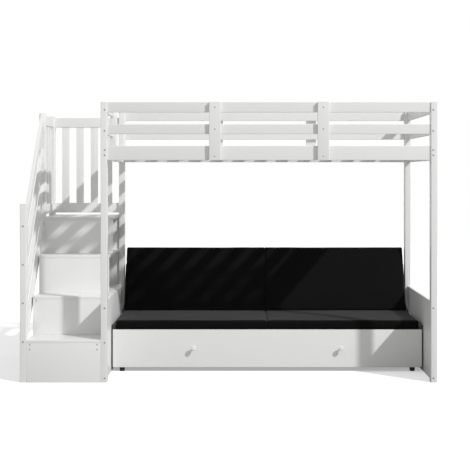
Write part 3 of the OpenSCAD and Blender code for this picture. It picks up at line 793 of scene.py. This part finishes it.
def woven(name, turn):
    """Black upholstery cloth: plain weave, soft slubs, a dull sheen, and a painted sheen at
    grazing views.
    """
    material, tree, look = new_material(name)
    turned = mapped(tree, place_on(tree), "Rotation", turn)
    split = tree.nodes.new("ShaderNodeSeparateXYZ")
    feed(tree, split.inputs["Vector"], turned)
    threads = 0
    for axis in "XYZ":
        angle = math_node(tree, "MULTIPLY", split.outputs[axis], 2 * math.pi / THREAD_PITCH)
        thread = math_node(tree, "ABSOLUTE", math_node(tree, "SINE", angle))
        threads = math_node(tree, "ADD", thread, threads)
    slubs = noise_node(tree, turned, *SLUB_NOISE)
    clouds = noise_node(tree, turned, *CLOTH_CLOUD_NOISE)
    height = math_node(tree, "MULTIPLY", threads, THREAD_SHARE)
    height = math_node(tree, "MULTIPLY_ADD", slubs, SLUB_SHARE, height)
    feed(tree, look["Normal"], bumped(tree, height, CLOTH_RELIEF, CLOTH_RELIEF_SHARE))
    # Painted sheen: the base colour turns lighter where the cloth is seen at a grazing angle.
    grazing_weight = tree.nodes.new("ShaderNodeLayerWeight")
    feed(tree, grazing_weight.inputs["Blend"], PAINTED_SHEEN_BLEND)
    painted_sheen = math_node(tree, "POWER", grazing_weight.outputs["Facing"], PAINTED_SHEEN_POWER)
    feed(tree, look["Base Color"],
         colour_mix(tree, painted_sheen, varied(tree, CLOTH_COLOUR, clouds), PAINTED_SHEEN_COLOUR))
    feed(tree, look["Roughness"],
         math_node(tree, "MULTIPLY_ADD", slubs, CLOTH_ROUGHNESS_CHANGE, CLOTH_ROUGHNESS))
    feed(tree, look["Specular IOR Level"], CLOTH_SHINE)
    feed(tree, look["Sheen Weight"], CLOTH_SHEEN)
    feed(tree, look["Sheen Roughness"], CLOTH_SHEEN_ROUGHNESS)
    return material


CUSHION_THICK = 0.0537
COVER_EASE = 0.001
PAIR_GAP = 0.0002
HINGE_GAP = 0.0002
BACK_LENGTH = 0.4538
EDGE_R = 0.009
EDGE_STEPS = 4
CORNER_R = 0.010
MEETING_R = 0.002
CORNER_STEPS = 7
OUTLINE_STEPS = 120
DRAWN_IN = 0.0015
CROWN = 0.005
CROWN_STEPS = 9
CROWN_REACH_SHARE = 0.98


def outline(width, depth, inset):
    """A rounded outline, drawn in along its sides but the one that meets its neighbour, +X."""
    radii = [max(r - inset, MEETING_R) for r in (MEETING_R, CORNER_R, CORNER_R, MEETING_R)]
    middles = [Vector(((width / 2 - inset - r) * (1 if corner in (0, 3) else -1),
                       (depth / 2 - inset - r) * (1 if corner < 2 else -1)))
               for corner, r in enumerate(radii)]
    side_steps = OUTLINE_STEPS // 4 - CORNER_STEPS
    points = []
    for corner in range(4):
        following = (corner + 1) % 4
        for k in range(CORNER_STEPS + 1):
            turn = math.pi / 2 * (corner + k / CORNER_STEPS)
            out = Vector((math.cos(turn), math.sin(turn)))
            points.append(middles[corner] + radii[corner] * out)
        start = middles[corner] + out * radii[corner]
        end = middles[following] + out * radii[following]
        for k in range(1, side_steps):
            share = k / side_steps
            drawn = 0 if corner == 3 else DRAWN_IN * math.sin(math.pi * share)
            points.append(start.lerp(end, share) - out * drawn)
    return points


def foam_block(width, depth, thick, name):
    """The slab of foam before its cover swells: closed, rounded and crowned."""
    turns = [math.pi / 2 * k / EDGE_STEPS for k in range(EDGE_STEPS + 1)]
    levels = [(EDGE_R * (1 - math.sin(turn)), EDGE_R * (1 - math.cos(turn))) for turn in turns]
    levels += [(EDGE_R * (1 - math.cos(turn)), thick - EDGE_R * (1 - math.sin(turn)))
               for turn in turns]
    reach = CROWN_REACH_SHARE * (min(width, depth) / 2 - EDGE_R)
    for share in [k / CROWN_STEPS for k in range(1, CROWN_STEPS)]:
        levels.append((EDGE_R + share * reach, thick + CROWN * math.sin(math.pi / 2 * share)))
    shape = bmesh.new()
    rings = [[shape.verts.new((*point, level)) for point in outline(width, depth, inset)]
             for inset, level in levels]
    skin(shape, rings)
    shape.faces.new(rings[-1])
    shape.faces.new(rings[0][::-1])
    return linked(name, mesh_of(shape, name))


COVER_VOXEL = 0.0072
COVER_PRESSURE = 4.0
COVER_MASS = 0.4
COVER_STRETCH = 12
COVER_BEND = 1.5
COVER_FRAMES = 14
SWELL_CAPS = (0.0012, 0.0012, 0.004)
MEETING_ZONE = 0.06


def swell(block, width):
    """Remeshes the block and lets its cover swell as cloth, within a cap."""
    remesh = block.modifiers.new("remesh", "REMESH")
    remesh.mode = "VOXEL"
    remesh.voxel_size = COVER_VOXEL
    even = evaluated(block)
    block.modifiers.clear()
    block.data = even
    cloth = block.modifiers.new("cover", "CLOTH")
    cloth.settings.use_pressure = True
    cloth.settings.uniform_pressure_force = COVER_PRESSURE
    cloth.settings.effector_weights.gravity = 0
    cloth.settings.mass = COVER_MASS
    cloth.settings.tension_stiffness = COVER_STRETCH
    cloth.settings.compression_stiffness = COVER_STRETCH
    cloth.settings.bending_stiffness = COVER_BEND
    cloth.point_cache.frame_start = 1
    cloth.point_cache.frame_end = COVER_FRAMES
    for step in range(1, COVER_FRAMES + 1):
        scene.frame_set(step)
    swollen = evaluated(block)
    block.modifiers.clear()
    for after, before in zip(swollen.vertices, even.vertices):
        room = min(1, max(0, width / 2 - before.co.x) / MEETING_ZONE)
        caps = (SWELL_CAPS[0] * room, *SWELL_CAPS[1:])
        after.co = [was + max(-cap, min(cap, now - was))
                    for was, now, cap in zip(before.co, after.co, caps)]
    block.data = swollen
    scene.frame_set(1)


HOLLOW_DEPTH = 0.0016
HOLLOW_PITCH = (5, 5, 3)
FOLD_DEPTH = 0.0012
FOLD_PITCH = (22, 22, 9)
FOLD_REACH = 0.07
TOP_SHARE = 0.75
UNDERSIDE_SHARE = 0.15
SIDE_ZONE = 0.03
BASE_ZONE = 0.02
BASE_LIFT = 0.0003
PRESSED = 0.003
HINGE_PRESSED = 0.005


def wrinkled(mesh, width, depth, thick, hinge_side, seed):
    """Soft hollows and pull lines to the corners, flat below and where covers meet."""
    for vertex in mesh.vertices:
        at = vertex.co
        hollow, fold = [noise(Vector((at.x * pitch[0] + seed, at.y * pitch[1], at.z * pitch[2])))
                        for pitch in (HOLLOW_PITCH, FOLD_PITCH)]
        to_edge = min(abs(abs(at.x) - width / 2), abs(abs(at.y) - depth / 2))
        lift = HOLLOW_DEPTH * hollow + FOLD_DEPTH * math.exp(-to_edge / FOLD_REACH) * fold
        if at.z > thick * TOP_SHARE:
            at.z += lift
        elif at.z > thick * UNDERSIDE_SHARE:
            at.x -= lift if at.x < -width / 2 + SIDE_ZONE else 0
            at.y += math.copysign(lift, at.y) if abs(at.y) > depth / 2 - SIDE_ZONE else 0
        at.z = max(at.z - PRESSED * max(0, 1 - at.z / BASE_ZONE), BASE_LIFT)
        pressed = max(0, 1 - (width / 2 - at.x) / MEETING_ZONE)
        at.x = min(at.x + PRESSED * pressed, width / 2)
        reach = at.y * hinge_side
        pressed = max(0, 1 - (depth / 2 - reach) / MEETING_ZONE)
        at.y = hinge_side * min(reach + HINGE_PRESSED * pressed, depth / 2)


SEAM_R = 0.0013
SEAM_STEPS = 6
SEAM_INSET_SHARE = 0.3
SEAM_LIFT_SHARE = 0.25


def seam(cover_mesh, width, depth, level, name):
    """The stitched edge: a fine cord that hugs the cover round one edge."""
    copy = bmesh.new()
    copy.from_mesh(cover_mesh)
    cover_faces = BVHTree.FromBMesh(copy)
    copy.free()
    path = []
    for point in outline(width, depth, EDGE_R * SEAM_INSET_SHARE):
        hit, normal, _, _ = cover_faces.find_nearest(Vector((*point, level)))
        path.append(hit + normal * SEAM_R * SEAM_LIFT_SHARE)
    turns = [2 * math.pi * k / SEAM_STEPS for k in range(SEAM_STEPS)]
    shape = bmesh.new()
    rings = []
    for k, point in enumerate(path):
        ahead = (path[(k + 1) % len(path)] - path[k - 1]).normalized()
        side = ahead.cross(Vector((0, 0, 1))).normalized()
        up = side.cross(ahead)
        rings.append([shape.verts.new(point + SEAM_R * (side * math.cos(turn)
                                                        + up * math.sin(turn)))
                      for turn in turns])
    skin(shape, [*rings, rings[0]])
    bmesh.ops.recalc_face_normals(shape, faces=shape.faces)
    return mesh_of(shape, name)


def cover(body, width):
    """The swollen cover of one kind of cushion, made once and used for its pair."""
    depth, thick = cover_depths[body], CUSHION_THICK
    block = foam_block(width, depth - COVER_EASE, thick, body + "_foam")
    swell(block, width)
    wrinkled(block.data, width, depth, thick, hinge_sides[body], len(body))
    seam_level = EDGE_R * SEAM_INSET_SHARE
    seams = [seam(block.data, width, depth - COVER_EASE, level, body + "_seam")
             for level in (seam_level, thick - seam_level)]
    smooth = block.modifiers.new("smooth", "SUBSURF")
    smooth.levels = 1
    smooth.render_levels = 1
    fine_mesh = evaluated(block)
    bpy.data.objects.remove(block)
    return [fine_mesh, *seams]


def cushion(node, body, side, turn, material):
    """A cushion in the space of its CAD solid, its inner side on the sofa's middle."""
    joined = bmesh.new()
    for part in covers[body]:
        joined.from_mesh(part)
    handed = Matrix.Diagonal((-side, 1, 1, 1))
    middle = Matrix.Translation((side * pair_width / 2, cover_middles[body], -CUSHION_THICK))
    place = Matrix.Translation(cover_origins[body]) @ Matrix.Rotation(turn, 4, "X")
    bmesh.ops.transform(joined, matrix=place @ middle @ handed, verts=joined.verts)
    if side > 0:
        bmesh.ops.reverse_faces(joined, faces=joined.faces)
    name = node + "_cover"
    made = finished(mesh_of(joined, name), name, material, math.pi)
    stands_for(made, node, body)


hinge = motions["back_recline"]["pos_m"]
pair_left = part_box("seat_cushion_left")[0][0]
pair_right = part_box("seat_cushion_right")[1][0]
pair_middle = (pair_left + pair_right) / 2
pair_width = (pair_right - pair_left - PAIR_GAP) / 2
seat_low, seat_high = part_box("seat_cushion_left")
seat_depth = seat_high[1] - seat_low[1]
hinge_sides = {"sofa_base": 1, "sofa_back": -1}
cover_depths = {"sofa_base": seat_depth, "sofa_back": BACK_LENGTH}
cover_middles = {"sofa_base": seat_depth / 2, "sofa_back": HINGE_GAP + BACK_LENGTH / 2}
cover_origins = {"sofa_base": (pair_middle, seat_low[1], seat_low[2] + CUSHION_THICK),
                 "sofa_back": (pair_middle, hinge[1], hinge[2])}
cloth_seat = woven("black_cloth_seat", (0, 0, 0))
cloth_back = woven("black_cloth_back", (-lean, 0, 0))
covers = {body: cover(body, pair_width) for body in ("sofa_base", "sofa_back")}
cushion("seat_cushion_left", "sofa_base", -1, 0, cloth_seat)
cushion("seat_cushion_right", "sofa_base", 1, 0, cloth_seat)
cushion("back_cushion_left", "sofa_back", -1, lean, cloth_back)
cushion("back_cushion_right", "sofa_back", 1, lean, cloth_back)
